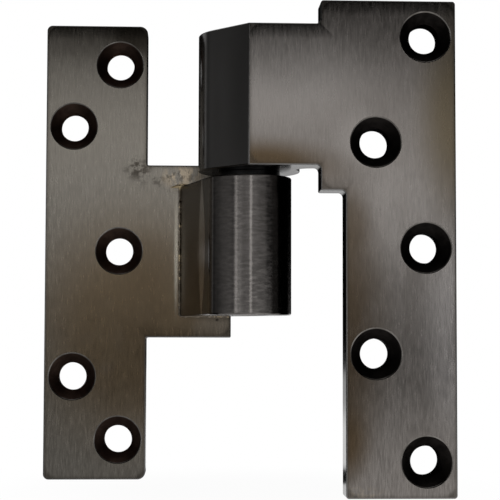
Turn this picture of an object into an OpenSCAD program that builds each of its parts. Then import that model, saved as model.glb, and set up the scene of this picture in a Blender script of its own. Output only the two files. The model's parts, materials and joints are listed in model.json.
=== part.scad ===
// Offset intermediate pivot hinge, shown fully open (180 degrees).
// Two flat leaves with countersunk screw holes turn about one upright pin.
// The jamb leaf carries the lower knuckle, brazed on a tab of the leaf.
// The door leaf, its arm and the upper knuckle are one casting.
// The upper knuckle turns on the pin in a drawn-cup needle bearing.
//
// Origin: centre of the jamb leaf's back face.
// +Z is up along the pin, +X runs from the jamb leaf to the door leaf,
// and -Y is the side that shows the screw heads.

/* [Leaves] */

// Height of both leaves (mm)
leaf_h = 127; // [118:0.5:150]
// Width of both leaves (mm)
leaf_w = 28.3; // [26:0.1:34]
// Thickness of the jamb leaf (mm)
jamb_t = 6.35; // [5:0.05:8]
// Thickness of the door leaf and its arm (mm)
door_t = 8.3; // [6:0.05:9.5]
// Radius of the jamb leaf's corners away from the pivot (mm)
jamb_far_r = 1.5; // [0.8:0.1:4]
// Radius of the jamb leaf's corners near the pivot (mm)
jamb_near_r = 2.2; // [0.8:0.1:4]
// Radius of the door leaf's corners (mm)
door_r = 0.8; // [0.5:0.1:3]
// How much lower the door leaf sits than the jamb leaf (mm)
door_drop = 1.2; // [0:0.1:2]

/* [Screw holes] */

// Diameter of the screw holes (mm)
hole_d = 7.7; // [6.6:0.1:8.2]
// Diameter of the countersinks at the face (mm)
head_d = 13; // [11:0.1:14]
// Full angle of the countersinks (degrees)
sink_angle = 82; // [80:1:100]
// Distance from a leaf's long edge to the nearer row of holes (mm)
hole_edge = 7.75; // [7.2:0.05:9]
// Height of the jamb leaf's outer pair of holes above its middle (mm)
jamb_pair_z = 35; // [24:0.5:42]
// Height of the jamb leaf's end holes above its middle (mm)
jamb_end_z = 52.5; // [48:0.1:55]
// Height of the door leaf's inner pair of holes above its middle (mm)
door_pair_z = 27; // [20:0.5:42]
// Height of the door leaf's end holes above its middle (mm)
door_end_z = 54.2; // [48:0.1:55]

/* [Pivot] */

// Distance from the pin's axis to the face of the jamb leaf (mm)
jamb_face = 22.2; // [21.5:0.05:26]
// Distance from the pin's axis to the face of the door leaf (mm)
door_face = 19.05; // [17.5:0.05:20]
// Distance from the pin's axis to the jamb leaf's near edge (mm)
jamb_edge = 27.6; // [26:0.1:32]
// Distance from the pin's axis to the door leaf's near edge (mm)
door_edge = 23.85; // [22:0.05:27]
// Height of each knuckle (mm)
knuckle_h = 36.5; // [34:0.1:40]
// Diameter of the lower knuckle's barrel (mm)
barrel_d = 22.6; // [21:0.1:24]
// Diameter of the upper knuckle (mm)
knuckle_d = 27; // [25:0.1:28]
// Diameter of the pivot pin (mm)
pin_d = 9.525; // [9:0.005:9.6]
// Length of the pivot pin (mm)
pin_l = 57.15; // [54:0.05:60]
// Height of the pin's foot above the lower knuckle's bottom face (mm)
pin_foot = 1.8; // [0.5:0.1:3]
// Chamfer on the ends of the pivot pin (mm)
pin_cham = 0.8; // [0.3:0.1:1.2]

/* [Arm] */

// Distance from the pin's axis to the arm's front left edge (mm)
arm_nose = 1; // [0:0.1:3]
// Distance from the pin's axis to the wide part of the door leaf (mm)
heel = 17.5; // [17.5:0.05:19]
// Height of the wide part's lower edge above the pivot's middle (mm)
heel_z = 13.3; // [8:0.1:16]
// Radius of the small inside corners of the door leaf (mm)
nick_r = 1.2; // [0.6:0.1:2]
// Radius of the hollow between the arm's back and the knuckle (mm)
hollow_r = 4; // [2.5:0.1:5]

/* [Neck] */

// Height of the jamb leaf's tab (mm)
tab_h = 48.3; // [44:0.1:52]
// Distance from the pin's axis to the tab's end (mm)
tab_end = 4; // [3:0.1:6]
// Distance from the pin's axis to the neck's far side at the tab (mm)
neck_out = 18; // [16:0.1:18.4]
// How far the neck stops short of the barrel's ends (mm)
neck_inset = 0.25; // [0.1:0.05:2]
// Leg of the braze fillet at the neck's far side (mm)
braze_side = 1.6; // [1:0.1:2]
// Leg of the braze fillets above and below the neck (mm)
braze_end = 0.8; // [0.5:0.1:1.5]
// Chamfer on the ends of the lower knuckle (mm)
barrel_cham = 0.8; // [0.3:0.1:1.5]

/* [Bearing] */

// Thickness of the thrust washer between the knuckles (mm)
washer_t = 1.5; // [1:0.1:2.5]
// Outside diameter of the thrust washer (mm)
washer_d = 16.5; // [16:0.1:20]
// Radial clearance of the washer on the pin (mm)
washer_fit = 0.12; // [0.05:0.01:0.3]
// Number of needles in the bearing
needle_n = 12; // [12]
// Nominal diameter of a needle (mm)
needle_d = 1.5875; // [1.5:0.0125:1.6]
// Radial clearance of a needle on each race (mm)
needle_fit = 0.015; // [0.01:0.001:0.03]
// Clearance of a needle in its window of the cage (mm)
cage_fit = 0.07; // [0.05:0.01:0.12]
// Length of the bearing's drawn cup (mm)
cup_l = 19.05; // [16:0.05:20]
// Wall thickness of the drawn cup (mm)
cup_wall = 0.8; // [0.6:0.05:1]
// Depth of the cup below the mouth of its bore (mm)
cup_sink = 0.75; // [0.3:0.05:1.5]
// Clearance between the cup's lips and the pin (mm)
lip_gap = 0.45; // [0.2:0.05:0.8]
// Radial clearance of the cage on the pin and in the cup (mm)
cage_side = 0.35; // [0.2:0.05:0.4]
// Clearance between each end of the cage and the cup (mm)
cage_play = 0.25; // [0.1:0.05:0.5]
// Width of the solid rim at each end of the cage (mm)
cage_rim = 1.8; // [1:0.1:2.5]
// Length of the plug in the top of the bore (mm)
plug_l = 5; // [3:0.5:8]
// Diameter of the bore above the cup, and of its plug (mm)
plug_d = 11; // [10.6:0.1:12]

/* [Hidden] */

$fn = 96;
// A hair that makes joined shapes overlap, and the reach of a cut past a face.
eps = 0.01;
over = 1;

// The pivot axis in the row frame.
pivot_x = jamb_edge + leaf_w / 2;
pivot_y = -(jamb_face + jamb_t);

// Levels of the pivot, from its own middle.
barrel_top = knuckle_h / 2;
barrel_bot = -knuckle_h / 2;
knuckle_bot = barrel_top + washer_t;
knuckle_top = knuckle_bot + knuckle_h;
pin_bot = barrel_bot + pin_foot;
neck_h = knuckle_h - 2 * neck_inset;

// Countersinks.
sink_depth = (head_d - hole_d) / 2 / tan(sink_angle / 2);
sink_grow = 2 * over * tan(sink_angle / 2);

// Needle bearing.
pin_r = pin_d / 2;
pitch_r = pin_r + needle_d / 2;
race_r = pin_r + needle_d;
cup_r = race_r + cup_wall;
needle_r = needle_d / 2 - needle_fit;
cup_bot = knuckle_bot + cup_sink;
cup_top = cup_bot + cup_l;
lip_r = pin_r + lip_gap;
cage_l = cup_l - 2 * cup_wall - 2 * cage_play;
cage_in = pin_r + cage_side;
cage_out = race_r - cage_side;
needle_l = cage_l - 2 * cage_rim;
cup_mid = (cup_bot + cup_top) / 2;
needle_step = 360 / needle_n;

// Tangent from the arm's front left edge to the upper knuckle.
knuckle_r = knuckle_d / 2;
nose_far = norm([arm_nose, door_face]);
nose_turn = acos(knuckle_r / nose_far);
nose_dir = atan2(-door_face, -arm_nose);
nose_touch = knuckle_r * [cos(nose_dir - nose_turn), sin(nose_dir - nose_turn)];

// Hollow between the arm's back and the upper knuckle.
arm_back = -door_face + door_t;
hollow_y = arm_back + hollow_r;
hollow_x = sqrt(pow(knuckle_r + hollow_r, 2) - pow(hollow_y, 2));
hollow_c = [hollow_x, hollow_y];
hollow_touch = hollow_c * knuckle_r / (knuckle_r + hollow_r);

// Tangents from the neck's foot to the lower knuckle.
barrel_r = barrel_d / 2;
foot_far_l = norm([neck_out, jamb_face]);
foot_dir_l = atan2(jamb_face, -neck_out) + acos(barrel_r / foot_far_l);
foot_touch_l = barrel_r * [cos(foot_dir_l), sin(foot_dir_l)];
foot_far_r = norm([tab_end, jamb_face]);
foot_dir_r = atan2(jamb_face, -tab_end) - acos(barrel_r / foot_far_r);
foot_touch_r = barrel_r * [cos(foot_dir_r), sin(foot_dir_r)];

// Braze fillet at the neck's far side: both faces it touches lean apart.
foot_l = [-neck_out, jamb_face];
neck_run = (foot_touch_l - foot_l) / norm(foot_touch_l - foot_l);
braze_open = acos(-neck_run[0]);
braze_r = braze_side * tan(braze_open / 2);
braze_mid = [neck_run[0] - 1, neck_run[1]] / norm([neck_run[0] - 1, neck_run[1]]);
braze_c = foot_l + braze_mid * braze_r / sin(braze_open / 2);

// ---------- helpers ----------

// Moves a shape drawn about the pivot axis into the row frame.
module at_pivot() {
    translate([pivot_x, pivot_y, 0])
        children();
}

// Lays an outline drawn in x and z flat behind the plane y = face, t deep.
module plate(face, t) {
    translate([0, face + t, 0])
        rotate([90, 0, 0])
            linear_extrude(t)
                children();
}

// The bit of a square corner outside a circle of radius r: it rounds an outer
// corner where it is cut away, and fills an inner corner where it is added.
module corner_bit(r) {
    difference() {
        translate([-eps, -eps])
            square(r + eps);
        translate([r, r])
            circle(r);
    }
}

// Rectangle between two opposite corners.
module box_2d(x0, z0, x1, z1) {
    translate([x0, z0])
        square([x1 - x0, z1 - z0]);
}

// A countersunk hole through a plate whose front is y = face.
module screw_hole(x, z, face, t) {
    translate([x, face, z])
        rotate([-90, 0, 0]) {
            translate([0, 0, -over])
                cylinder(h = t + 2 * over, d = hole_d);
            translate([0, 0, -over])
                cylinder(h = sink_depth + over, d1 = head_d + sink_grow, d2 = hole_d);
        }
}

// Upright tube about the pivot axis.
module ring(r_out, r_in, z0, z1) {
    translate([0, 0, z0])
        difference() {
            cylinder(h = z1 - z0, r = r_out);
            translate([0, 0, -over])
                cylinder(h = z1 - z0 + 2 * over, r = r_in);
        }
}

// ---------- jamb side ----------

module jamb_outline() {
    x_out = -jamb_edge - leaf_w;
    difference() {
        box_2d(x_out, -leaf_h / 2, -jamb_edge, leaf_h / 2);
        for (s = [-1, 1]) {
            translate([x_out, s * leaf_h / 2])
                scale([1, -s])
                    corner_bit(jamb_far_r);
            translate([-jamb_edge, s * leaf_h / 2])
                scale([-1, -s])
                    corner_bit(jamb_near_r);
        }
    }
    box_2d(-jamb_edge - over, -tab_h / 2, -tab_end, tab_h / 2);
}

module jamb_leaf() {
    x_out = -jamb_edge - leaf_w + hole_edge;
    x_in = -jamb_edge - hole_edge;
    color([0.45, 0.42, 0.39])
        at_pivot()
            difference() {
                plate(jamb_face, jamb_t)
                    jamb_outline();
                for (s = [-1, 1])
                    screw_hole(x_out, s * jamb_pair_z, jamb_face, jamb_t);
                for (s = [-1, 0, 1])
                    screw_hole(x_in, s * jamb_end_z, jamb_face, jamb_t);
            }
}

module jamb_knuckle() {
    color([0.42, 0.4, 0.38])
        at_pivot()
            difference() {
                union() {
                    translate([0, 0, barrel_bot])
                        cylinder(h = barrel_cham, r1 = barrel_r - barrel_cham, r2 = barrel_r);
                    translate([0, 0, barrel_bot + barrel_cham])
                        cylinder(h = knuckle_h - 2 * barrel_cham, r = barrel_r);
                    translate([0, 0, barrel_top - barrel_cham])
                        cylinder(h = barrel_cham, r1 = barrel_r, r2 = barrel_r - barrel_cham);
                    translate([0, 0, -neck_h / 2])
                        linear_extrude(neck_h)
                            polygon([foot_touch_l, foot_l, [-tab_end, jamb_face],
                                     foot_touch_r, [0, 0]]);
                }
                translate([0, 0, barrel_bot - over])
                    cylinder(h = knuckle_h + 2 * over, r = pin_r);
            }
}

// A hollow-faced bar of braze along x, in the corner below z = level.
module braze_bar(level) {
    translate([-neck_out - braze_side, jamb_face, level])
        rotate([0, 90, 0])
            linear_extrude(neck_out + braze_side - tab_end)
                difference() {
                    translate([0, -braze_end])
                        square(braze_end);
                    translate([braze_end, -braze_end])
                        circle(braze_end);
                }
}

module braze_joint() {
    color([0.75, 0.7, 0.58])
        at_pivot() {
            translate([0, 0, -neck_h / 2 - braze_end])
                linear_extrude(neck_h + 2 * braze_end)
                    difference() {
                        polygon([foot_l, foot_l - [braze_side, 0], braze_c,
                                 foot_l + neck_run * braze_side]);
                        translate(braze_c)
                            circle(braze_r);
                    }
            braze_bar(-neck_h / 2);
            mirror([0, 0, 1])
                braze_bar(-neck_h / 2);
        }
}

// ---------- door side ----------

module door_outline() {
    z_bot = -door_drop - leaf_h / 2;
    z_top = -door_drop + leaf_h / 2;
    x_far = door_edge + leaf_w;
    difference() {
        union() {
            box_2d(door_edge, z_bot, x_far, z_top);
            box_2d(heel, heel_z, door_edge + over, z_top);
        }
        translate([x_far, z_top])
            scale([-1, -1])
                corner_bit(door_r);
        translate([x_far, z_bot])
            scale([-1, 1])
                corner_bit(door_r);
        translate([door_edge, z_bot])
            corner_bit(door_r);
        translate([heel, z_top])
            scale([1, -1])
                corner_bit(door_r);
    }
    translate([door_edge, heel_z])
        scale([-1, -1])
            corner_bit(nick_r);
    translate([heel, knuckle_top])
        scale([-1, 1])
            corner_bit(nick_r);
    translate([heel, knuckle_bot])
        scale([-1, -1])
            corner_bit(nick_r);
}

module arm_outline() {
    polygon([[-arm_nose, -door_face], [heel + over, -door_face], [heel + over, arm_back],
             [0, arm_back], [0, 0], nose_touch]);
    difference() {
        polygon([[hollow_c[0], arm_back - eps], hollow_c, hollow_touch, [0, arm_back]]);
        translate(hollow_c)
            circle(hollow_r);
    }
    circle(knuckle_r);
}

module door_leaf() {
    x_in = door_edge + hole_edge;
    x_out = door_edge + leaf_w - hole_edge;
    color([0.47, 0.44, 0.41])
        at_pivot()
            difference() {
                union() {
                    plate(-door_face, door_t)
                        door_outline();
                    translate([0, 0, knuckle_bot])
                        linear_extrude(knuckle_h)
                            arm_outline();
                }
                for (s = [-1, 1])
                    screw_hole(x_in, s * door_pair_z - door_drop, -door_face, door_t);
                for (s = [-1, 0, 1])
                    screw_hole(x_out, s * door_end_z - door_drop, -door_face, door_t);
                translate([0, 0, knuckle_bot - over])
                    cylinder(h = over + cup_sink + cup_l, r = cup_r);
                translate([0, 0, knuckle_bot])
                    cylinder(h = knuckle_h + over, d = plug_d);
            }
}

// ---------- pin, washer and bearing ----------

module pivot_pin() {
    color([0.62, 0.62, 0.62])
        at_pivot()
            translate([0, 0, pin_bot]) {
                cylinder(h = pin_cham, r1 = pin_r - pin_cham, r2 = pin_r);
                translate([0, 0, pin_cham])
                    cylinder(h = pin_l - 2 * pin_cham, r = pin_r);
                translate([0, 0, pin_l - pin_cham])
                    cylinder(h = pin_cham, r1 = pin_r, r2 = pin_r - pin_cham);
            }
}

module thrust_washer() {
    color([0.08, 0.08, 0.08])
        at_pivot()
            ring(washer_d / 2, pin_r + washer_fit, barrel_top, knuckle_bot);
}

module bearing_shell() {
    color([0.6, 0.6, 0.6])
        at_pivot()
            difference() {
                translate([0, 0, cup_bot])
                    cylinder(h = cup_l, r = cup_r);
                translate([0, 0, cup_bot - over])
                    cylinder(h = cup_l + 2 * over, r = lip_r);
                translate([0, 0, cup_bot + cup_wall])
                    cylinder(h = cup_l - 2 * cup_wall, r = race_r);
            }
}

module bearing_cage() {
    win_w = 2 * (needle_r + cage_fit);
    win_l = needle_l + 2 * cage_fit;
    color([0.5, 0.5, 0.48])
        at_pivot()
            difference() {
                ring(cage_out, cage_in, cup_mid - cage_l / 2, cup_mid + cage_l / 2);
                for (i = [0 : needle_n - 1])
                    rotate([0, 0, i * needle_step])
                        translate([cage_in - over, -win_w / 2, cup_mid - win_l / 2])
                            cube([cage_out - cage_in + 2 * over, win_w, win_l]);
            }
}

module needle(i) {
    color([0.7, 0.7, 0.7])
        at_pivot()
            rotate([0, 0, i * needle_step])
                translate([pitch_r, 0, cup_mid - needle_l / 2])
                    cylinder(h = needle_l, r = needle_r);
}

module top_plug() {
    color([0.09, 0.09, 0.09])
        at_pivot()
            translate([0, 0, knuckle_top - plug_l])
                cylinder(h = plug_l, d = plug_d);
}

jamb_leaf();
jamb_knuckle();
braze_joint();
door_leaf();
pivot_pin();
thrust_washer();
bearing_shell();
bearing_cage();
needle(0);  // needle_01
needle(1);  // needle_02
needle(2);  // needle_03
needle(3);  // needle_04
needle(4);  // needle_05
needle(5);  // needle_06
needle(6);  // needle_07
needle(7);  // needle_08
needle(8);  // needle_09
needle(9);  // needle_10
needle(10);  // needle_11
needle(11);  // needle_12
top_plug();
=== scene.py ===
# %% [markdown]
# # An offset pivot hinge
# A heavy door turns on this hinge. Its jamb leaf is screwed to the frame, its
# door leaf to the door, and both meet at two knuckles round one upright pin.
# The working model comes from CAD as a fixed frame; here every surface that
# shows gets its rounded edges, its brushed or turned finish and its wear.

# %% Load the frame
import json
import math

import bmesh
import bpy
from mathutils import Matrix, Vector, noise


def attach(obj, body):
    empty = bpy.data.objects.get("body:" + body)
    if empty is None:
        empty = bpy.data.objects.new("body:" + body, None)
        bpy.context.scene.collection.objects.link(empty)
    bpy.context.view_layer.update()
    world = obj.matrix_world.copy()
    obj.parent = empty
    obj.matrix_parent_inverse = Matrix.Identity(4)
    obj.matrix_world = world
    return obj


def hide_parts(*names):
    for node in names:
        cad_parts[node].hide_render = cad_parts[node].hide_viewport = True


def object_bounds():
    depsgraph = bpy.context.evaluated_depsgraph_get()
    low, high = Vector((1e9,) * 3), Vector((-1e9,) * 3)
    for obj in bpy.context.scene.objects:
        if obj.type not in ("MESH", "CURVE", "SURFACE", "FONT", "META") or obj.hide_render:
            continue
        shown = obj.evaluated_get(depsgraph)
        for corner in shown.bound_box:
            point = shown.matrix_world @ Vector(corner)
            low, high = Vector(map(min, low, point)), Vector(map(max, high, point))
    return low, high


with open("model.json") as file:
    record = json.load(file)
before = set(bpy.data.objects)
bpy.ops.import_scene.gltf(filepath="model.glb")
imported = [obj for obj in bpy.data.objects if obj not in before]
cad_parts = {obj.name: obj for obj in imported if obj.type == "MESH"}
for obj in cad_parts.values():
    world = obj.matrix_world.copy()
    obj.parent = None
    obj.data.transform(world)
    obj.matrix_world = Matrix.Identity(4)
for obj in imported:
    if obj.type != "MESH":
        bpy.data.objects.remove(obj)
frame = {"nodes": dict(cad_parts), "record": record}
cad_box = [list(corner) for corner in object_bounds()]
print("CAD box in mm:", [[round(v * 1000, 2) for v in corner] for corner in cad_box])

# %% [markdown]
# The drawing gives every size from the pin's axis, in millimetres. One short
# function turns such a size into a point of the scene, which is in metres.

# %% Points from the pin's axis
MM = 0.001
pin_axis = Vector(frame["record"]["behaviour"]["joints"][0]["pos_m"])


def at(x, y, z):
    return pin_axis + Vector((x, y, z)) * MM


print("pin axis:", [round(v, 5) for v in pin_axis])

# %% [markdown]
# The leaves' outlines are wanted twice, for the plates and for the finish
# that changes towards their edges, so their sizes come first. All of them run
# from the pin's axis: x towards the door leaf, y to the back, z up.

# %% Main sizes
JAMB_FACE, JAMB_FAR, JAMB_EDGE, JAMB_HALF = 22.2, -55.9, -27.6, 63.5
TAB_END, TAB_HALF = -4, 24.15
DOOR_FACE, DOOR_EDGE, DOOR_FAR, DOOR_LOW, DOOR_TOP = -19.05, 23.85, 52.15, -64.7, 62.3
HEEL, HEEL_LOW, NOSE = 17.5, 13.3, -1.0
KNUCKLE_LOW, KNUCKLE_TOP = 19.75, 56.25
print(f"leaves {JAMB_EDGE - JAMB_FAR:.1f} and {DOOR_FAR - DOOR_EDGE:.1f} mm wide")

# %% [markdown]
# ## The camera
# A long lens a little below the middle of the hinge, nearly square to the
# leaves. The long lens keeps the two leaves close to their true proportion,
# while the door leaf, which stands 41 mm nearer, still looks nearer.

# %% Camera
bpy.context.scene.view_settings.view_transform = "Standard"
camera_data = bpy.data.cameras.new("camera")
camera_data.lens = 108.0
camera_data.sensor_width = 36.0
camera_data.clip_start = 0.01
camera = bpy.data.objects.new("camera", camera_data)
camera.location = (0.02418, -0.42634, -0.02454)
camera.rotation_euler = [math.radians(a) for a in (93.3988, -0.1367, -2.5849)]
bpy.context.scene.collection.objects.link(camera)
bpy.context.scene.camera = camera
print("camera at", tuple(round(v, 4) for v in camera.location))

# %% [markdown]
# ## Finishes
# The leaves are steel with a dark plated skin. They were brushed along their
# length, so the skin shows fine upright lines, and a highlight on it is drawn
# out sideways, across the lines. The narrow sides and the big faces of the
# casting beside the arm were left smooth, and mirror the room darkly. The
# screw seats keep the thick, nearly black oxide. All of this is made of noise
# that is measured in the object's own space, so it stays with the metal when
# the hinge turns.

# %% Graph helpers
PLACE = "ShaderNodeTexCoord"


def add(tree, kind, wires=None, **settings):
    """Adds a node, sets it up, wires or sets its inputs, and returns its outputs."""
    node = tree.nodes.new(kind)
    for key, value in settings.items():
        setattr(node, key, value)
    for key, value in (wires or {}).items():
        if isinstance(value, bpy.types.NodeSocket):
            tree.links.new(value, node.inputs[key])
        else:
            node.inputs[key].default_value = value
    return node.outputs


def number(tree, operation, *values):
    """One step of arithmetic on numbers."""
    return add(tree, "ShaderNodeMath", dict(enumerate(values)), operation=operation)["Value"]


def vector(tree, operation, *values):
    """One step of arithmetic on vectors."""
    wires = dict(enumerate(values))
    return add(tree, "ShaderNodeVectorMath", wires, operation=operation)["Vector"]


def measure(tree, operation, *values):
    """A step on vectors that gives a number, such as a length."""
    wires = dict(enumerate(values))
    return add(tree, "ShaderNodeVectorMath", wires, operation=operation)["Value"]


def wire(tree, shader, results):
    """Leads the finished colour, roughness and so on to the shader's sockets."""
    for socket, result in results.items():
        tree.links.new(result, shader.inputs[socket])


def metal(name, colour, rough, grain=0.0):
    """A new metal with one colour, ready for its graph."""
    made = bpy.data.materials.new(name)
    made.use_nodes = True
    tree = made.node_tree
    shader = tree.nodes["Principled BSDF"]
    shader.inputs["Base Color"].default_value = (*colour, 1)
    shader.inputs["Metallic"].default_value = 1.0
    shader.inputs["Roughness"].default_value = rough
    shader.inputs["Anisotropic"].default_value = grain
    return made, tree, shader


def cloud(tree, place, stretch, detail=3.0, rough=0.6):
    """Noise whose grains are 1 / stretch metres long along x, y and z."""
    scaled = vector(tree, "MULTIPLY", place, stretch)
    wires = {"Vector": scaled, "Scale": 1.0, "Detail": detail, "Roughness": rough}
    return add(tree, "ShaderNodeTexNoise", wires)["Fac"]


def spread(tree, value, low, high, to_low=0.0, to_high=1.0, smooth=True):
    """Maps low..high to to_low..to_high, and holds it there outside."""
    kind = "SMOOTHSTEP" if smooth else "LINEAR"
    wires = {"Value": value, "From Min": low, "From Max": high,
             "To Min": to_low, "To Max": to_high}
    return add(tree, "ShaderNodeMapRange", wires, interpolation_type=kind)["Result"]


def times(tree, a, b):
    return number(tree, "MULTIPLY", a, b)


def blend_to(tree, share, colour, other):
    """Mixes another colour in, by the given share."""
    first = colour if isinstance(colour, bpy.types.NodeSocket) else (*colour, 1)
    second = other if isinstance(other, bpy.types.NodeSocket) else (*other, 1)
    return add(tree, "ShaderNodeMix", {"Factor": share, 6: first, 7: second}, data_type="RGBA")[2]


def oval_tint(tree, place, colour, centre, reach, tint, strength, grains, cut=None):
    """An oval of another colour, of the given reach, broken up by noise: used for stains, painted
    shade and painted highlights.
    """
    local = vector(tree, "SUBTRACT", place, at(*centre))
    local = vector(tree, "MULTIPLY", local, [1 / (r * MM) for r in reach])
    inside = spread(tree, measure(tree, "LENGTH", local), 0.25, 1.0, strength, 0.0)
    if grains:
        inside = times(tree, inside, spread(tree, cloud(tree, place, grains, 4.0), *cut))
    return blend_to(tree, inside, colour, tint)


def bump(tree, height, depth, strength=1.0, under=None):
    wires = {"Height": height, "Distance": depth, "Strength": strength}
    if under is not None:
        wires["Normal"] = under
    return add(tree, "ShaderNodeBump", wires)["Normal"]


print("helpers ready")

# %% [markdown]
# ### Brushed leaves
# Three layers of upright lines make the brushing: hairlines a third of a
# millimetre wide, scratches twice as wide, and soft bands where the belt
# pressed harder. They tint the skin, change its gloss a little and dent it by
# no more than a few thousandths of a millimetre. Towards its outline a flat
# rolls off a little, because a belt is soft, and there its colour is darkened
# as painted shade. The shader gets a tangent that lies level on every upright
# face, found as the cross product of the face's normal and the upright axis:
# the hinge only turns about that axis, so it stays right. Last come ovals of
# other colours: stains that handling and brazing left, painted shade, painted
# highlights, and lighter and darker patches. Each has a centre and a reach,
# and noise breaks up most of them.

# %% Brushed finish
UPRIGHT = (0, 0, 1)
BROWN = (0.098, 0.07, 0.043)
BRONZE = (0.16, 0.12, 0.076)
# Soot and heat marks, and painted shade.
SOOT_AND_SHADE = (0.045, 0.038, 0.03)
STRAW = (0.27, 0.235, 0.195)
# A lighter tone for patches on the door leaf.
LIGHTER_TONE = (0.32, 0.297, 0.279)


def level_tangent(tree):
    normal = add(tree, "ShaderNodeNewGeometry")["Normal"]
    return vector(tree, "CROSS_PRODUCT", normal, UPRIGHT)


def roll_off(tree, place, boxes, reach=4.0, drop=0.04):
    """How near the outline is, from 0 to 1, and how far the flat is rounded off there."""
    share = 1.0
    for low_x, high_x, low_z, high_z in boxes:
        middle = at((low_x + high_x) / 2, 0, (low_z + high_z) / 2)
        inner = [((high_x - low_x) / 2 - reach) * MM, 0, ((high_z - low_z) / 2 - reach) * MM]
        off = vector(tree, "SUBTRACT", place, middle)
        off = vector(tree, "MULTIPLY", off, (1, 0, 1))
        off = vector(tree, "ABSOLUTE", off)
        off = vector(tree, "SUBTRACT", off, inner)
        off = vector(tree, "MAXIMUM", off, (0, 0, 0))
        near = spread(tree, measure(tree, "LENGTH", off), 0.0, reach * MM, smooth=False)
        share = number(tree, "MINIMUM", near, share)
    squared = times(tree, share, share)
    return squared, times(tree, squared, -drop * MM)


def brushed(name, light_tone, dark_tone, boxes, ovals):
    made, tree, shader = metal(name, light_tone, 0.24, grain=0.95)
    place = add(tree, PLACE)["Object"]
    hair = cloud(tree, place, (3000, 3000, 330), 2.0)
    scratch = cloud(tree, place, (1400, 1400, 160), 2.0)
    band = cloud(tree, place, (260, 260, 60), 3.0)
    lines = number(tree, "ADD", times(tree, hair, 0.65), times(tree, scratch, 0.35))
    colour = blend_to(tree, spread(tree, lines, 0.36, 0.64), dark_tone, light_tone)
    colour = blend_to(tree, spread(tree, band, 0.3, 0.75, 0.0, 0.25), colour, dark_tone)
    for each in ovals:
        colour = oval_tint(tree, place, colour, *each)
    rim, height = roll_off(tree, place, boxes)
    # Painted shade: the skin is darkened towards the outline.
    colour = blend_to(tree, spread(tree, rim, 0.45, 1.0, 0.0, 0.6), colour, SOOT_AND_SHADE)
    rub_and_highlight = {0: colour, "Scale": spread(tree, lines, 0.3, 0.7, 0.74, 1.15)}
    dents = bump(tree, lines, 0.03 * MM, 0.05)
    wire(tree, shader, {
        "Base Color": add(tree, "ShaderNodeVectorMath", rub_and_highlight, operation="SCALE")["Vector"],
        "Roughness": spread(tree, lines, 0.3, 0.7, 0.21, 0.28),
        "Normal": bump(tree, height, 1.0, 1.0, dents),
        "Tangent": level_tangent(tree),
    })
    return made


jamb_stains_and_painted_light = [
    ((-31, JAMB_FACE, -22), (42, 12, 44), BRONZE, 1.0, (60, 60, 40), (0.05, 0.45)),
    # The next two ovals are painted shade: they darken the leaf towards its top.
    ((-45, JAMB_FACE, 65), (26, 12, 16), SOOT_AND_SHADE, 0.5, None),
    ((-31, JAMB_FACE, 61), (11, 12, 10), SOOT_AND_SHADE, 0.95, None),
    ((-27, JAMB_FACE, -3), (12, 12, 12), BROWN, 0.35, None),
    # Painted highlight: a thin light line down the leaf beside the braze bead.
    ((-19.4, JAMB_FACE, -1), (0.8, 3, 21), (0.4, 0.37, 0.31), 0.85, None),
    ((-9, JAMB_FACE, -20.5), (7, 6, 4), STRAW, 0.3, None),
    ((-30, JAMB_FACE, -30), (22, 12, 26), BROWN, 0.5, (80, 80, 40), (0.3, 0.6)),
    ((-30.5, JAMB_FACE, 23.2), (5.5, 6, 4.2), SOOT_AND_SHADE, 0.85, (700, 700, 700), (0.44, 0.56)),
    ((-25, JAMB_FACE, 21), (9, 6, 5), SOOT_AND_SHADE, 0.6, (420, 420, 600), (0.47, 0.6)),
    ((-17.5, JAMB_FACE, 21), (8, 6, 5), (0.36, 0.3, 0.225), 0.9, (500, 500, 240), (0.4, 0.56)),
    ((-19, JAMB_FACE, 20.5), (9, 6, 5), SOOT_AND_SHADE, 0.6, (900, 900, 500), (0.54, 0.62)),
    ((-7.88, JAMB_FACE, -19.21), (0.7, 2, 0.45), SOOT_AND_SHADE, 1.0, None),
]
door_stains_and_patches = [
    # The first four rows are lighter patches and the fifth a darker one; brown and straw ovals
    # follow.
    ((9, DOOR_FACE, 44), (31, 6, 19), LIGHTER_TONE, 0.85, (90, 90, 60), (0.1, 0.5)),
    ((38, DOOR_FACE, 7), (16, 6, 21), LIGHTER_TONE, 0.7, (90, 90, 60), (0.1, 0.5)),
    ((53, DOOR_FACE, -22), (13, 6, 34), (0.41, 0.385, 0.37), 1.0, (90, 90, 60), (0.0, 0.4)),
    ((27, DOOR_FACE, 27), (8, 6, 10), LIGHTER_TONE, 0.5, None),
    ((53, DOOR_FACE, 34), (14, 6, 36), (0.138, 0.113, 0.078), 1.0, (90, 90, 40), (0.0, 0.4)),
    # Darker brown by the inner corner of the step.
    ((25, DOOR_FACE, 5), (7, 6, 11), BROWN, 0.5, None),
    ((21.5, DOOR_FACE, -22), (17, 6, 50), BROWN, 0.9, (90, 90, 40), (0.0, 0.45)),
    ((23, DOOR_FACE, -50), (9, 6, 14), BROWN, 1.0, (90, 90, 40), (0.0, 0.35)),
    # Darker brown towards the arm's lower edge.
    ((2, DOOR_FACE, 19.8), (26, 6, 8.8), BROWN, 1.0, (90, 90, 90), (0.0, 0.4)),
    ((27, DOOR_FACE, -63.4), (9, 6, 2.6), STRAW, 0.7, (900, 900, 900), (0.45, 0.6)),
]
jamb_boxes = [
    (JAMB_FAR, JAMB_EDGE, -JAMB_HALF, JAMB_HALF),
    (JAMB_FAR, TAB_END, -TAB_HALF, TAB_HALF),
]
door_boxes = [
    (DOOR_EDGE, DOOR_FAR, DOOR_LOW, DOOR_TOP),
    (HEEL, DOOR_FAR, HEEL_LOW, DOOR_TOP),
    (NOSE, DOOR_FAR, KNUCKLE_LOW, KNUCKLE_TOP),
]
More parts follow.
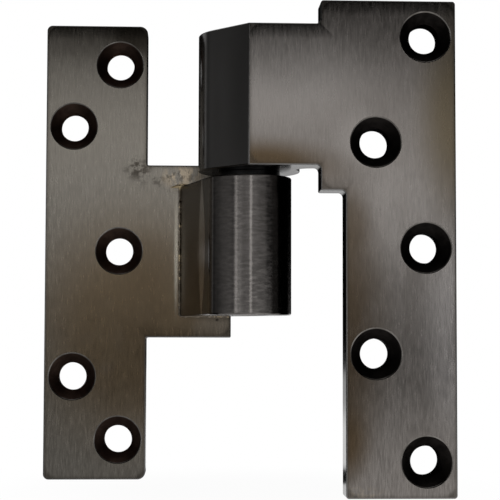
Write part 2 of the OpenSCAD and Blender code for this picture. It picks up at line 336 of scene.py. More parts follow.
jamb_brushed = brushed("jamb_brushed", (0.22, 0.203, 0.177), (0.195, 0.179, 0.155),
                       jamb_boxes, jamb_stains_and_painted_light)
door_brushed = brushed("door_brushed", (0.232, 0.212, 0.197), (0.205, 0.187, 0.172),
                       door_boxes, door_stains_and_patches)
print(len(jamb_stains_and_painted_light), "stains on the jamb leaf and", len(door_stains_and_patches), "on the door leaf")

# %% [markdown]
# ### Smooth dark skin, worn edges and screw seats
# The smooth skin is the same plating without the brushing. It is not quite
# even: a cloudy change of gloss and a very shallow ripple keep its reflections
# from looking like glass. The long facet beside the upper knuckle has a painted
# dark zone and a painted light zone along it: painted shade and a painted
# reflection. Round the mouths of the screw seats, where drivers rub, the skin is
# thinner and brighter. In the seats it is thick, brown-black and dull, with the
# faint rings of the countersinking tool. Their gloss is turned down, because deep in a hole there
# is little to mirror.

# %% Smooth, worn and seat finishes
def smooth_skin(name, tone, dark, rough, ovals=()):
    made, tree, shader = metal(name, tone, rough)
    place = add(tree, PLACE)["Object"]
    haze = cloud(tree, place, (90, 90, 60), 4.0)
    speck = cloud(tree, place, (2600, 2600, 2600), 1.0)
    colour = blend_to(tree, spread(tree, haze, 0.35, 0.7), dark, tone)
    colour = blend_to(tree, spread(tree, speck, 0.74, 0.8, 0.0, 0.5), colour, STRAW)
    for each in ovals:
        colour = oval_tint(tree, place, colour, *each)
    wire(tree, shader, {
        "Base Color": colour,
        "Roughness": spread(tree, haze, 0.3, 0.7, rough * 0.85, rough * 1.2),
        "Normal": bump(tree, haze, 0.2 * MM, 0.25),
    })
    return made


def seat_skin(name, tone, dark):
    made, tree, shader = metal(name, tone, 0.52)
    shader.inputs["Specular Tint"].default_value = (0.1, 0.1, 0.1, 1)
    place = add(tree, PLACE)["Object"]
    rings = cloud(tree, place, (300, 4200, 300), 2.0)
    blot = cloud(tree, place, (420, 420, 420), 3.0)
    wire(tree, shader, {
        "Base Color": blend_to(tree, spread(tree, blot, 0.35, 0.65), dark, tone),
        "Roughness": spread(tree, rings, 0.3, 0.7, 0.45, 0.6),
        "Normal": bump(tree, rings, 0.03 * MM, 0.5),
    })
    return made


def worn_edge(name, tone, dark, rough):
    made, tree, shader = metal(name, tone, rough)
    place = add(tree, PLACE)["Object"]
    rub = cloud(tree, place, (260, 260, 160), 4.0)
    wire(tree, shader, {
        "Base Color": blend_to(tree, spread(tree, rub, 0.38, 0.62), dark, tone),
        "Roughness": spread(tree, rub, 0.3, 0.7, rough * 1.3, rough * 0.8),
    })
    return made


# Painted shade and a painted reflection: the first oval darkens the facet near the arm, the
# second lightens it near the knuckle.
facet_painted_light = [
    ((-0.5, -19, 38), (11, 11, 40), (0.125, 0.121, 0.117), 0.85, None),
    ((-13, -4, 38), (7, 8, 40), (0.27, 0.263, 0.256), 0.75, None),
]
leaf_side = smooth_skin("leaf_side", (0.205, 0.2, 0.195), (0.185, 0.178, 0.172), 0.17,
                        facet_painted_light)
jamb_seat = seat_skin("jamb_seat", (0.1, 0.066, 0.052), (0.068, 0.045, 0.036))
door_seat = seat_skin("door_seat", (0.03, 0.026, 0.024), (0.016, 0.014, 0.013))
seat_edge = worn_edge("seat_edge", (0.23, 0.215, 0.2), (0.15, 0.138, 0.125), 0.3)
print("leaf finishes:", [m.name for m in bpy.data.materials])

# %% [markdown]
# ### Turned barrel
# The lower knuckle was turned and then rubbed with a cloth belt while it
# spun, so its lines run round it. They draw a highlight out along the
# barrel, and their short, broken strokes show in it as fine level ripples.

# %% Turned finish
def turned(name, tone, dark, gloss=0.19):
    made, tree, shader = metal(name, tone, gloss, grain=0.85)
    place = add(tree, PLACE)["Object"]
    stroke = cloud(tree, place, (420, 420, 1500), 3.0, 0.65)
    belt = cloud(tree, place, (60, 60, 200), 2.0)
    pit = cloud(tree, place, (900, 900, 900), 2.0)
    colour = blend_to(tree, spread(tree, stroke, 0.35, 0.65), dark, tone)
    colour = blend_to(tree, spread(tree, belt, 0.35, 0.75, 0.0, 0.3), colour, dark)
    colour = blend_to(tree, spread(tree, pit, 0.72, 0.78, 0.0, 0.7), colour, SOOT_AND_SHADE)
    wire(tree, shader, {
        "Base Color": colour,
        "Roughness": spread(tree, stroke, 0.3, 0.7, gloss * 0.85, gloss * 1.2),
        "Normal": bump(tree, stroke, 0.04 * MM, 0.45),
        "Tangent": add(tree, "ShaderNodeCombineXYZ", {"X": 0.0, "Y": 0.0, "Z": 1.0})["Vector"],
    })
    return made


barrel_turned = turned("barrel_turned", (0.25, 0.232, 0.22), (0.15, 0.14, 0.132))


BOW_END = 17
# Painted highlight and painted shade on the neck beside the barrel: a light band, and a darker
# band nearest the barrel.
NECK_PAINTED_LIGHT = [
    (4.9, 3.0, (0.5, 0.48, 0.46)),
    (-0.3, 2.2, (0.16, 0.155, 0.15)),
]
# A small mark on the neck, drawn as a painted dark line with a painted highlight beside it.
neck_mark_shading = [
    ((-13.5, 6.9, -1.2), (3, 0.8, 7.5), SOOT_AND_SHADE, 0.9, None),
    ((-13.3, 6.0, -1.6), (3, 0.5, 6.0), (0.6, 0.55, 0.48), 0.5, None),
]


def neck_finish():
    """Brown plating on the neck. Next to the barrel a light band and a darker one are painted on
    it: a painted highlight, and painted shade nearest the barrel.

    The painted zones end in bows. Each row of NECK_PAINTED_LIGHT gives how far back one
    reaches halfway up and at BOW_END above and below that, and its colour.
    """
    made, tree, shader = metal("neck_skin", (0.21, 0.185, 0.155), 0.24)
    place = add(tree, PLACE)["Object"]
    haze = cloud(tree, place, (90, 90, 60), 4.0)
    dark_brown, light_brown = (0.108, 0.089, 0.064), (0.133, 0.112, 0.086)
    colour = blend_to(tree, spread(tree, haze, 0.35, 0.7), dark_brown, light_brown)
    parts = add(tree, "ShaderNodeSeparateXYZ", {0: place})
    high = times(tree, parts["Z"], parts["Z"])
    for half_way, at_the_ends, tint in NECK_PAINTED_LIGHT:
        levels = at(0, half_way, 0).y, at(0, at_the_ends, 0).y
        bow = spread(tree, high, 0.0, (BOW_END * MM) ** 2, *levels, smooth=False)
        past = number(tree, "SUBTRACT", bow, parts["Y"])
        rub_and_highlight = spread(tree, past, -0.3 * MM, 0.3 * MM)
        colour = blend_to(tree, rub_and_highlight, colour, tint)
    for each in neck_mark_shading:
        colour = oval_tint(tree, place, colour, *each)
    wire(tree, shader, {
        "Base Color": colour,
        "Roughness": spread(tree, rub_and_highlight, 0.0, 1.0, 0.26, 0.3),
        "Normal": bump(tree, haze, 0.2 * MM, 0.25),
    })
    return made


neck_skin = neck_finish()
print("barrel finish ready")

# %% [markdown]
# ### Braze, pin, washer and plug
# Braze metal is a pale brass that froze in beads, darkened by the plating
# bath. The pin is ground steel, the thrust washer black oxide, and the plug
# in the top of the bore a dull black plastic.

# %% Small finishes
bright_drop = ((-19, JAMB_FACE, 18.2), (4, 3, 1.5), (0.78, 0.62, 0.38), 0.9, None)


def braze_skin():
    made, tree, shader = metal("braze_skin", (0.5, 0.4, 0.24), 0.3)
    place = add(tree, PLACE)["Object"]
    blot = cloud(tree, place, (700, 700, 700), 4.0)
    plated, brass = (0.24, 0.205, 0.165), (0.62, 0.5, 0.33)
    colour = blend_to(tree, spread(tree, blot, 0.56, 0.64), plated, brass)
    colour = oval_tint(tree, place, colour, *bright_drop)
    wire(tree, shader, {
        "Base Color": colour,
        "Roughness": spread(tree, blot, 0.4, 0.6, 0.42, 0.2),
        "Normal": bump(tree, cloud(tree, place, (1500, 1500, 1500)), 0.1 * MM, 0.5),
    })
    return made


def dull_black(name, tone, rough, metallic):
    made, tree, shader = metal(name, tone, rough)
    shader.inputs["Metallic"].default_value = metallic
    place = add(tree, PLACE)["Object"]
    grit = cloud(tree, place, (1800, 1800, 1800), 3.0)
    lighter = tuple(min(1.0, t * 2.2) for t in tone)
    wire(tree, shader, {
        "Base Color": blend_to(tree, spread(tree, grit, 0.4, 0.8), tone, lighter),
        "Roughness": spread(tree, grit, 0.3, 0.7, rough * 0.85, rough * 1.15),
        "Normal": bump(tree, grit, 0.03 * MM, 0.4),
    })
    return made


braze_metal = braze_skin()
pin_ground = turned("pin_ground", (0.5, 0.49, 0.47), (0.4, 0.39, 0.37))
race_steel = turned("race_steel", (0.56, 0.55, 0.53), (0.46, 0.45, 0.43))
washer_black = dull_black("washer_black", (0.02, 0.02, 0.02), 0.35, 1.0)
plug_black = dull_black("plug_black", (0.02, 0.02, 0.02), 0.55, 0.0)
print(len(bpy.data.materials), "finishes in all")

# %% [markdown]
# ## Making a piece
# Every piece is finished the same way. Its doubled points are merged, its
# faces turned outwards, and it becomes an object at the origin that rides on
# its CAD body. It is shaded smooth except across sharp edges: beside a flat an
# edge counts as sharp from 8 degrees, elsewhere from 38. A Weighted Normal
# modifier lets the large flats win over the small rounded edges: a flat stays
# flat, and only its edge catches the light.

# %% Finish a piece
BY_A_FLAT, ELSEWHERE = 8, 38


def square_on(face):
    """Whether a face lies square to one of the main directions."""
    return max(abs(n) for n in face.normal) > 0.99999


def finish_piece(name, bm, body, slot, stands_for, *finishes):
    bmesh.ops.remove_doubles(bm, verts=bm.verts, dist=0.5e-6)
    bmesh.ops.recalc_face_normals(bm, faces=bm.faces)
    for face in bm.faces:
        face.smooth = True
    for edge in bm.edges:
        least = BY_A_FLAT if any(square_on(f) for f in edge.link_faces) else ELSEWHERE
        edge.smooth = edge.calc_face_angle(math.pi) < math.radians(least)
    gaps = sum(not edge.is_manifold for edge in bm.edges)
    mesh = bpy.data.meshes.new(name)
    bm.to_mesh(mesh)
    bm.free()
    for finish in finishes:
        mesh.materials.append(finish)
    piece = bpy.data.objects.new(name, mesh)
    bpy.context.scene.collection.objects.link(piece)
    flats = piece.modifiers.new("flats", "WEIGHTED_NORMAL")
    flats.keep_sharp = True
    flats.weight = 100
    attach(piece, body)
    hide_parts(*stands_for)
    print(f"{name}: {len(mesh.polygons)} faces, {gaps} open edges")


# %% [markdown]
# ## Flat plates with screw holes
# A leaf could be a cube with holes cut by booleans. Here it is drawn as a
# maker would draw it: an outline of a few points, each corner rounded with a
# bevel of its own radius, then extruded to its thickness. Each screw hole is
# one ring, extruded and narrowed into the cone and extruded again into the
# straight wall. Filling what is left open in each plane closes the plate, and
# the mesh holds exactly the faces that the real part has.

# %% Outline, extrusion and caps
BMVert, BMEdge = bmesh.types.BMVert, bmesh.types.BMEdge


def of_kind(geometry, kind):
    return [g for g in geometry if isinstance(g, kind)]


def outline(bm, corners, level):
    """A closed outline in the plane y = level, with each corner rounded."""
    verts = [bm.verts.new(at(x, level, z)) for x, z, radius in corners]
    bm.faces.new(verts)
    for vert, (x, z, radius) in zip(verts, corners):
        if radius:
            bmesh.ops.bevel(bm, geom=[vert], offset=radius * MM, offset_type="OFFSET",
                            segments=8, profile=0.5, affect="VERTICES", material=-1,
                            clamp_overlap=False)
    edges = list(bm.faces[:][0].edges)
    bmesh.ops.delete(bm, geom=bm.faces[:], context="FACES_ONLY")
    return edges


def extrude(bm, edges, move):
    """Extrudes edges by a move in millimetres. Returns the moved points and far edges."""
    made = bmesh.ops.extrude_edge_only(bm, edges=edges)["geom"]
    verts = of_kind(made, BMVert)
    bmesh.ops.translate(bm, vec=Vector(move) * MM, verts=verts)
    return verts, [e for e in of_kind(made, BMEdge) if all(v in verts for v in e.verts)]


def cap(bm, axis, level):
    """Fills the open edges that lie in the plane where axis = level."""
    edges = [e for e in bm.edges if len(e.link_faces) < 2
             and all(abs(v.co[axis] - level) < 2e-6 for v in e.verts)]
    bmesh.ops.triangle_fill(bm, use_beauty=True, edges=edges)


print("plate helpers ready")

# %% [markdown]
# The holes take a quarter-inch flat-head screw: 7.7 mm through, 13 mm across
# the mouth of an 82 degree cone.

# %% Screw holes
HEAD_R, HOLE_R, SINK_ANGLE = 6.5, 3.85, 82
SINK_DEPTH = (HEAD_R - HOLE_R) / math.tan(math.radians(SINK_ANGLE / 2))
BRUSH, SIDE, SEAT, LIP = range(4)


def screw_hole(bm, x, z, level, thick):
    turn = Matrix.Translation(at(x, level, z)) @ Matrix.Rotation(math.pi / 2, 4, "X")
    verts = bmesh.ops.create_circle(bm, segments=72, radius=HEAD_R * MM, matrix=turn)["verts"]
    mouth = list({e for v in verts for e in v.link_edges})
    verts, throat = extrude(bm, mouth, (0, SINK_DEPTH, 0))
    ratio = HOLE_R / HEAD_R
    bmesh.ops.scale(bm, vec=(ratio, 1, ratio), verts=verts,
                    space=Matrix.Translation(-at(x, level, z)))
    extrude(bm, throat, (0, thick - SINK_DEPTH, 0))


def from_hole(point, holes):
    """How far a point lies from the nearest screw hole's axis, in millimetres."""
    local = (point - pin_axis) / MM
    return min(math.hypot(local.x - x, local.z - z) for x, z in holes)


def paint_plate(bm, holes):
    """Flats are brushed, seats are black, and all other walls are smooth."""
    for face in bm.faces:
        near = from_hole(face.calc_center_median(), holes)
        flat = abs(face.normal.y) > 0.99
        face.material_index = BRUSH if flat else SEAT if near < HEAD_R else SIDE


print(f"the cone is {SINK_DEPTH:.2f} mm deep")

# %% [markdown]
# ## Rounded edges
# No machined edge is perfectly sharp. A bevel of about a third of a
# millimetre on the outer edges, and of a fifth round each screw seat, gives
# the thin bright lines that make metal look like metal. The lips of the seats
# get the worn finish, and the outer edges stay as smooth as the sides.

# %% Round the edges
EDGE_R, LIP_R = 0.32, 0.2


def hard_edges(bm, least=30):
    return [e for e in bm.edges if e.is_manifold and e.calc_face_angle() > math.radians(least)]


def round_edges(bm, edges, radius, index=None, segments=3):
    faces = bmesh.ops.bevel(bm, geom=edges, offset=radius * MM, offset_type="OFFSET",
                            segments=segments, profile=0.5, affect="EDGES", material=-1,
                            loop_slide=False, clamp_overlap=False)["faces"]
    for face in faces:
        if index is not None:
            face.material_index = index


def middle(edge):
    return (edge.verts[0].co + edge.verts[1].co) / 2


def seat_mouths(bm, holes, level):
    """The edges round the mouths of the screw seats."""
    return [e for e in hard_edges(bm) if from_hole(middle(e), holes) < HEAD_R + 0.1
            and all(abs(v.co.y - at(0, level, 0).y) < 1e-6 for v in e.verts)]


print("edge helpers ready")

# %% [markdown]
# ## The jamb leaf
# A plate 6.35 mm thick and 127 mm high, with five screw holes in a zigzag. The
# tab on its inner edge carries the lower knuckle. Its corners away from the
# pivot are a little tighter than the two near it.

# %% Jamb leaf
JAMB_T = 6.35
FAR_CORNER, NEAR_CORNER, TAB_NICK, TAB_CORNER = 1.5, 2.2, 0.5, 0.4
JAMB_HOLES = [(-48.15, 35), (-48.15, -35), (-35.35, 52.5), (-35.35, 0), (-35.35, -52.5)]
bm = bmesh.new()
lower_half = [(JAMB_FAR, -JAMB_HALF, FAR_CORNER), (JAMB_EDGE, -JAMB_HALF, NEAR_CORNER),
              (JAMB_EDGE, -TAB_HALF, TAB_NICK), (TAB_END, -TAB_HALF, TAB_CORNER)]
upper_half = [(x, -z, radius) for x, z, radius in reversed(lower_half)]
rim = outline(bm, lower_half + upper_half, JAMB_FACE)
extrude(bm, rim, (0, JAMB_T, 0))
for x, z in JAMB_HOLES:
    screw_hole(bm, x, z, JAMB_FACE, JAMB_T)
for level in (JAMB_FACE, JAMB_FACE + JAMB_T):
    cap(bm, 1, at(0, level, 0).y)
bmesh.ops.recalc_face_normals(bm, faces=bm.faces)
paint_plate(bm, JAMB_HOLES)
outer = [e for e in hard_edges(bm) if from_hole(middle(e), JAMB_HOLES) > HEAD_R + 0.5]
round_edges(bm, seat_mouths(bm, JAMB_HOLES, JAMB_FACE), LIP_R, LIP, 2)
round_edges(bm, [e for e in outer if e.is_valid], EDGE_R, SIDE)
finish_piece("jamb_leaf_plate", bm, "jamb_side", "leaf_steel", ["jamb_leaf"],
             jamb_brushed, leaf_side, jamb_seat, seat_edge)

# %% [markdown]
# ## Upright walls
# The knuckles are outlines seen from above, drawn up into walls. Instead of
# listing points, one upright edge is led round the plan: straight on with an
# extrusion, and round the pin's axis, or round the centre of a hollow, with a
# spin. A few lines give true tangents and arcs.

# %% Lead an edge round the plan
def upright(bm, x, y, low, high):
    return bm.edges.new([bm.verts.new(at(x, y, z)) for z in (low, high)])


def lead(bm, edge, x, y):
    """Extrudes an upright edge straight to another place on the plan."""
    verts, far = extrude(bm, [edge], (0, 0, 0))
    for v in verts:
        v.co.xy = at(x, y, 0).xy
    return far[0]


def swing(bm, edge, x, y, degrees, steps):
    """Spins an upright edge round the upright axis through x, y."""
    last = bmesh.ops.spin(bm, geom=[edge, *edge.verts], cent=at(x, y, 0), axis=UPRIGHT,
                          angle=math.radians(degrees), steps=steps, use_merge=False)["geom_last"]
    return of_kind(last, BMEdge)[0]


def touch(x, y, radius, side):
    """The angle, seen from the pin, where a line from x, y touches a circle round it."""
    return math.degrees(math.atan2(y, x) + side * math.acos(radius / math.hypot(x, y)))


def on_circle(radius, degrees):
    turn = math.radians(degrees)
    return radius * math.cos(turn), radius * math.sin(turn)


def bore(bm, steps):
    """A turned hole through the given radii and levels, one after the other."""
    radius, level = steps[0]
    ring = bmesh.ops.create_circle(bm, segments=96, radius=radius * MM,
                                   matrix=Matrix.Translation(at(0, 0, level)))["verts"]
    edges = list({e for v in ring for e in v.link_edges})
    for next_radius, next_level in steps[1:]:
        verts, edges = extrude(bm, edges, (0, 0, next_level - level))
        ratio = next_radius / radius
        bmesh.ops.scale(bm, vec=(ratio, ratio, 1), verts=verts,
                        space=Matrix.Translation(-pin_axis))
        radius, level = next_radius, next_level


def from_pin(edge):
    """How far the nearer end of an edge lies from the pin's axis, in millimetres."""
    return min((v.co - pin_axis).xy.length for v in edge.verts) / MM


print("wall helpers ready")

# %% [markdown]
# ## The lower knuckle
# A barrel 22.6 mm across with a neck that reaches back to the jamb leaf's tab.
# The neck's sides leave the barrel as tangents. The barrel's ends are lightly
# rounded, and the pin's bore has a small lead at each mouth.

# %% Lower knuckle
BARREL_R, HALF, PIN_R, BORE_LEAD, END_R = 11.3, 18.25, 4.7625, 0.3, 0.45
FOOT_FAR, FOOT_NEAR = -18.3, -4
far_side = touch(FOOT_FAR, JAMB_FACE, BARREL_R, 1)
near_side = touch(FOOT_NEAR, JAMB_FACE, BARREL_R, -1) + 360
bm = bmesh.new()
edge = upright(bm, FOOT_FAR, JAMB_FACE, -HALF, HALF)
edge = lead(bm, edge, *on_circle(BARREL_R, far_side))
edge = swing(bm, edge, 0, 0, near_side - far_side, 96)
edge = lead(bm, edge, FOOT_NEAR, JAMB_FACE)
lead(bm, edge, FOOT_FAR, JAMB_FACE)
bmesh.ops.remove_doubles(bm, verts=bm.verts, dist=1e-6)
bore(bm, [(PIN_R + BORE_LEAD, -HALF), (PIN_R, BORE_LEAD - HALF),
          (PIN_R, HALF - BORE_LEAD), (PIN_R + BORE_LEAD, HALF)])
for level in (-HALF, HALF):
    cap(bm, 2, at(0, 0, level).z)
bmesh.ops.recalc_face_normals(bm, faces=bm.faces)
for face in bm.faces:
    place = (face.calc_center_median() - pin_axis) / MM
    on_barrel = abs(place.xy.length - BARREL_R) < 0.3
    face.material_index = 0 if on_barrel or abs(face.normal.z) > 0.9 else 1
ends = [e for e in hard_edges(bm)
        if from_pin(e) > BARREL_R - 1 and abs(e.verts[0].co.z - e.verts[1].co.z) < 1e-6]
round_edges(bm, ends, END_R, segments=4)
finish_piece("lower_knuckle", bm, "jamb_side", "knuckle_steel", ["jamb_knuckle"],
             barrel_turned, neck_skin)

# %% [markdown]
# ## The door leaf, its arm and the upper knuckle
# One casting. The front outline takes in the leaf, the wide part beside the
# arm, and the arm's face as far as its nose. Every edge but the arm's three is
# extruded to the back. The nose edge is then led round the plan: along the
# long facet that touches the knuckle, round the knuckle, through the hollow
# behind it, and onto the leaf's back, where it closes the wall.

# %% Door leaf
DOOR_T, DOOR_CORNER, HEEL_CORNER, NICK = 8.3, 0.8, 0.4, 1.2
KNUCKLE_R, HOLLOW = 13.5, 4.0
DOOR_HOLES = [(31.6, 25.8), (31.6, -28.2), (44.4, 53.0), (44.4, -1.2), (44.4, -55.4)]
bm = bmesh.new()
rim = outline(bm, [(DOOR_EDGE, DOOR_LOW, DOOR_CORNER), (DOOR_FAR, DOOR_LOW, DOOR_CORNER),
                   (DOOR_FAR, DOOR_TOP, DOOR_CORNER), (HEEL, DOOR_TOP, DOOR_CORNER),
                   (HEEL, KNUCKLE_TOP, NICK), (NOSE, KNUCKLE_TOP, 0), (NOSE, KNUCKLE_LOW, 0),
                   (HEEL, KNUCKLE_LOW, NICK), (HEEL, HEEL_LOW, HEEL_CORNER),
                   (DOOR_EDGE, HEEL_LOW, NICK)], DOOR_FACE)
past_nose = at(NOSE + 1, 0, 0).x
extrude(bm, [e for e in rim if min(v.co.x for v in e.verts) > past_nose], (0, DOOR_T, 0))

edge = [e for e in rim if max(v.co.x for v in e.verts) < past_nose][0]
facet_end = touch(NOSE, DOOR_FACE, KNUCKLE_R, -1)
hollow_y = DOOR_FACE + DOOR_T + HOLLOW
hollow_x = math.sqrt((KNUCKLE_R + HOLLOW) ** 2 - hollow_y ** 2)
hollow_start = math.degrees(math.atan2(hollow_y, hollow_x))
edge = lead(bm, edge, *on_circle(KNUCKLE_R, facet_end))
edge = swing(bm, edge, 0, 0, hollow_start - facet_end - 360, 104)
edge = swing(bm, edge, hollow_x, hollow_y, 90 - hollow_start, 18)
lead(bm, edge, HEEL - NICK, DOOR_FACE + DOOR_T)
bmesh.ops.remove_doubles(bm, verts=bm.verts, dist=2e-6)
print(f"the facet ends at {facet_end:.1f} degrees, the hollow starts at {hollow_start:.1f}")

# %% [markdown]
# The screw holes and the stepped bore come next: 14.3 mm for the drawn cup of
# the needle bearing, then 11 mm up to the top for the plug. The four planes
# are capped, and the edges are rounded last.

# %% Door leaf, holes and edges
for x, z in DOOR_HOLES:
    screw_hole(bm, x, z, DOOR_FACE, DOOR_T)
CUP_R, PLUG_R, STEP = 7.15, 5.5, 39.55
bore(bm, [(CUP_R + BORE_LEAD, KNUCKLE_LOW), (CUP_R, KNUCKLE_LOW + BORE_LEAD), (CUP_R, STEP),
          (PLUG_R, STEP), (PLUG_R, KNUCKLE_TOP - BORE_LEAD), (PLUG_R + BORE_LEAD, KNUCKLE_TOP)])
for level in (DOOR_FACE, DOOR_FACE + DOOR_T):
    cap(bm, 1, at(0, level, 0).y)
for level in (KNUCKLE_LOW, KNUCKLE_TOP):
    cap(bm, 2, at(0, 0, level).z)
bmesh.ops.recalc_face_normals(bm, faces=bm.faces)
paint_plate(bm, DOOR_HOLES)
outer = [e for e in hard_edges(bm)
         if from_hole(middle(e), DOOR_HOLES) > HEAD_R + 0.5 and from_pin(e) > CUP_R + 1]
round_edges(bm, seat_mouths(bm, DOOR_HOLES, DOOR_FACE), LIP_R, LIP, 2)
round_edges(bm, [e for e in outer if e.is_valid], EDGE_R, SIDE)
finish_piece("door_leaf_casting", bm, "door_side", "leaf_steel", ["door_leaf"],
             door_brushed, leaf_side, door_seat, seat_edge)

# %% [markdown]
# ## The braze
# The knuckle's neck is brazed to the tab. The metal froze as a thin bead down
# the neck's far side and along its lower edge, lumpy, with small bright drops
# where the torch lingered. At the top corner one drop is drawn out to a point
# away from the neck. Each bead is a row of rings along its path, bridged one
# to the next, each with its own radius, and then roughened with noise.

# %% Braze bead
def bead(bm, path, radii, sides=12):
    loops = []
    for here, after, radius in zip(path, path[1:] + path[-2:-1], radii):
        ahead = (Vector(after) - Vector(here)) * (-1 if here == path[-1] else 1)
        turn = Matrix.Translation(at(*here)) @ ahead.to_track_quat("Z", "Y").to_matrix().to_4x4()
        last = here in (path[0], path[-1])
        ring = bmesh.ops.create_circle(bm, cap_ends=last, segments=sides,
                                       radius=radius * MM, matrix=turn)["verts"]
        loops.append(list({e for v in ring for e in v.link_edges
                           if all(w in ring for w in e.verts)}))
    for loop, following in zip(loops, loops[1:]):
        bmesh.ops.bridge_loops(bm, edges=loop + following)


def lump(x, z, size=0.08):
    """An uneven radius for the bead, the same on every run."""
    broad = noise.noise(Vector((x * 0.9, z * 0.9, 3.7)))
    fine = noise.noise(Vector((x * 3, z * 3, 1.1)))
    return 0.3 + size * broad + 0.08 * fine


bm = bmesh.new()
BEAD_Y = JAMB_FACE - 0.1
down = [(FOOT_FAR - 0.15, BEAD_Y, 18.3 - 0.5 * i) for i in range(73)]
along = [(FOOT_FAR + 0.2 + 0.3 * i, BEAD_Y, -HALF) for i in range(46)]
path = down + along
radii = [lump(x, z) + (0.35 if z > 17.6 else 0.0) + (0.12 if z < -18.2 and i % 11 < 2 else 0.0)
         for i, (x, y, z) in enumerate(path)]
bead(bm, path, radii)
drawn_out = range(23)
drop = [(FOOT_FAR - 2.7 + 0.25 * i, BEAD_Y, 17.95 + 0.03 * i) for i in drawn_out]
bead(bm, drop, [0.07 + 0.55 * math.sin(math.pi * (i + 1) / 26) ** 1.5 for i in drawn_out])
bmesh.ops.recalc_face_normals(bm, faces=bm.faces)
for v in bm.verts:
    v.co += v.normal * (0.09 * MM * noise.noise((v.co - pin_axis) / MM * 2.2))
finish_piece("braze_bead", bm, "jamb_side", "braze", ["braze_joint"], braze_metal)

# %% [markdown]
# ## Pin, washer and plug
# These three are turned, so each is a profile of a few points spun once round
# the pin's axis. Their rims are rounded by points of the profile itself.

# %% Turned pieces
def turn_piece(name, profile, body, slot, node, finish):
    bm = bmesh.new()
    verts = [bm.verts.new(at(r, 0, z)) for r, z in profile]
    edges = [bm.edges.new(pair) for pair in zip(verts, verts[1:])]
    bmesh.ops.spin(bm, geom=verts + edges, cent=pin_axis, axis=UPRIGHT,
                   angle=math.tau, steps=96, use_merge=True)
    finish_piece(name, bm, body, slot, [node], finish)


PIN_GROUND_R, PIN_LOW, PIN_TOP = 4.76, -16.45, 40.7
pin = [(0, -15.6), (0.7, -15.6), (1.4, PIN_LOW), (3.9, PIN_LOW), (4.3, -16.3),
       (PIN_GROUND_R, -15.6), (PIN_GROUND_R, 39.9), (4.3, 40.55), (3.9, PIN_TOP), (0, PIN_TOP)]
turn_piece("pivot_pin_ground", pin, "jamb_side", "pin_steel", "pivot_pin", pin_ground)

WASHER_BORE_R, WASHER_R = 4.88, 8.25
washer = [(WASHER_BORE_R, 18.4), (5.03, HALF), (8.1, HALF), (8.22, 18.3), (WASHER_R, 18.42),
          (WASHER_R, 19.58), (8.22, 19.7), (8.1, KNUCKLE_LOW), (5.03, KNUCKLE_LOW),
          (WASHER_BORE_R, 19.6), (WASHER_BORE_R, 18.4)]
turn_piece("thrust_washer_black", washer,
           "jamb_side", "black_washer", "thrust_washer", washer_black)

PLUG_LOW, PLUG_TOP = 51.25, 56.15
plug = [(0, PLUG_LOW), (5.3, PLUG_LOW), (PLUG_R, 51.45), (PLUG_R, 55.85), (5.42, 56.08),
        (5.2, PLUG_TOP), (1.2, 56.1), (1.0, 55.8), (0, 55.7)]
turn_piece("top_plug_cap", plug, "door_side", "black_plug", "top_plug", plug_black)

# %% [markdown]
# The bearing inside the upper knuckle keeps its CAD shapes, which are exact.
# It only gets the ground steel finish.

# %% Bearing
for node in ["bearing_shell", "bearing_cage"] + [f"needle_{i:02d}" for i in range(1, 13)]:
    frame["nodes"][node].data.materials[0] = race_steel
print("bearing nodes finished in", race_steel.name)

# %% [markdown]
# ## Floor
# A sheet of white paper just under the hinge. The camera sees it white, with
# only a hint of the hinge's shadow close by. The metal mirrors it dimmer, as
# the floor of a room: in front of the hinge it grows brighter to the right,
# and straight behind the hinge it is bright again, so that the backs of the
# leaves have something to mirror. To the sides it stays dark.

# %% Floor
FLOOR = cad_box[0][2] - 0.6 * MM
UNDER_FRONT, UNDER_BACK = (0.04, -0.02, FLOOR), (0.04, 0.03, FLOOR)
MIRRORED_LEFT, MIRRORED_RIGHT = 0.42, 0.85


def paper():
    """White to the camera, dim to the metal that mirrors it, matt to all else."""
    made, tree, shader = metal("paper", (0.8, 0.8, 0.8), 0.9)
    shader.inputs["Metallic"].default_value = 0.0
    place = add(tree, PLACE)["Object"]
    parts = add(tree, "ShaderNodeSeparateXYZ", {0: place})
    path = add(tree, "ShaderNodeLightPath")
    away = measure(tree, "DISTANCE", place, UNDER_FRONT)
    aim = vector(tree, "NORMALIZE", vector(tree, "SUBTRACT", place, UNDER_BACK))
    ahead = measure(tree, "DOT_PRODUCT", aim, (0, -1, 0))

    seen = times(tree, path["Is Camera Ray"], spread(tree, away, 0.02, 0.09, 0.965, 1.0))
    white = add(tree, "ShaderNodeEmission", {"Strength": 1.0})["Emission"]
    wires = {0: seen, 1: shader.outputs["BSDF"], 2: white}
    shown = add(tree, "ShaderNodeMixShader", wires)["Shader"]

    front = spread(tree, parts["Y"], 0.004, -0.006)
    front = times(tree, front, spread(tree, ahead, 0.4, 0.7))
    front = times(tree, spread(tree, away, 0.15, 0.8, 1.0, 0.6), front)
    rightwards = spread(tree, parts["X"], 0.0, 0.08, MIRRORED_LEFT, MIRRORED_RIGHT)
    front = times(tree, front, rightwards)
    behind = spread(tree, parts["Y"], 0.02, 0.07, 0.0, 0.9)
    behind = times(tree, behind, spread(tree, away, 0.25, 0.6, 1.0, 0.5))
    behind = times(tree, behind, spread(tree, ahead, -0.8, -0.5, 1.0, 0.0))
    glow = number(tree, "ADD", front, behind)
    dim = add(tree, "ShaderNodeEmission", {"Strength": glow})["Emission"]
    wires = {0: path["Is Glossy Ray"], 1: shown, 2: dim}
    mixed = add(tree, "ShaderNodeMixShader", wires)["Shader"]
    tree.links.new(mixed, tree.nodes["Material Output"].inputs["Surface"])
    return made


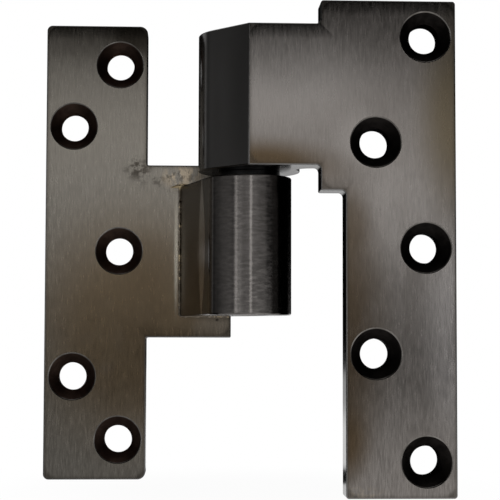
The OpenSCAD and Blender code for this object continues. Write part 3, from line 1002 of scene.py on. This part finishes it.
bm = bmesh.new()
bmesh.ops.create_grid(bm, x_segments=8, y_segments=8, size=1.2,
                      matrix=Matrix.Translation((0.04, 0.3, FLOOR)))
mesh = bpy.data.meshes.new("floor")
bm.to_mesh(mesh)
bm.free()
mesh.materials.append(paper())
floor = bpy.data.objects.new("floor", mesh)
bpy.context.scene.collection.objects.link(floor)
print("floor at", round(FLOOR * 1000, 2), "mm")

# %% [markdown]
# ## Light
# Dark metal shows the room more than its own colour, so the room is drawn
# with care: soft-edged windows of light, each at its own turn to the right
# and tilt above level, as seen from the hinge. Between them the room is dark,
# as it is round a camera. Lamps with hard edges could do this too, but their
# edges would show in the smooth skin. Level 1 is as bright as white paper.

# %% Windows of light
world = bpy.data.worlds.new("studio")
bpy.context.scene.world = world
world.use_nodes = True
tree = world.node_tree
parts = add(tree, "ShaderNodeSeparateXYZ", {0: add(tree, PLACE)["Generated"]})
forward = times(tree, parts["Y"], -1.0)
turn = number(tree, "ARCTAN2", parts["X"], forward)
tilt = number(tree, "ARCSINE", parts["Z"])


def window(centre, size, soft, level):
    """One window. Centre, size and the width of its soft edge are (turn, tilt) in degrees."""
    share = level
    for angle, middle, wide, edge in zip((turn, tilt), centre, size, soft):
        off = number(tree, "ABSOLUTE", number(tree, "SUBTRACT", angle, math.radians(middle)))
        reach = [math.radians(max(0.0, (wide + side * edge) / 2)) for side in (-1, 1)]
        share = times(tree, spread(tree, off, *reach, 1.0, 0.0), share)
    return share


WINDOWS = {
    "over the camera": ((3, 8.2), (14, 3.2), (26, 4), 0.72),
    "long and high": ((-5, 8.5), (60, 3), (30, 4), 0.8),
    "above the middle": ((-6, 4.8), (40, 3), (30, 4), 0.52),
    "middle strip": ((3, 4), (4, 10), (6, 6), 2.3),
    "left strip": ((-37, 3), (6, 10), (8, 6), 1.4),
    "between the strips": ((-17, 3), (26, 10), (8, 6), 0.2),
    "left card": ((-30, -0.5), (16, 3), (14, 5), 1.7),
    "left wall": ((-62, 3), (40, 12), (28, 8), 0.3),
    "right wall": ((28, 3), (34, 8), (14, 6), 0.45),
    "far left": ((-95, 3), (30, 24), (24, 10), 0.11),
    "behind left": ((-135, 5), (30, 20), (20, 10), 0.45),
    "high behind left": ((-138, 42), (84, 30), (24, 20), 0.5),
    "high behind right": ((152, 44), (56, 26), (20, 16), 0.45),
    "ceiling": ((0, 90), (400, 50), (20, 20), 0.6),
}
total = 0.0
for name, settings in WINDOWS.items():
    total = number(tree, "ADD", total, window(*settings))
seen = add(tree, "ShaderNodeLightPath")["Is Camera Ray"]
shown = number(tree, "MAXIMUM", total, seen)
tree.links.new(shown, tree.nodes["Background"].inputs["Strength"])
tree.nodes["Background"].inputs["Color"].default_value = (1, 1, 1, 1)
print(len(WINDOWS), "windows")
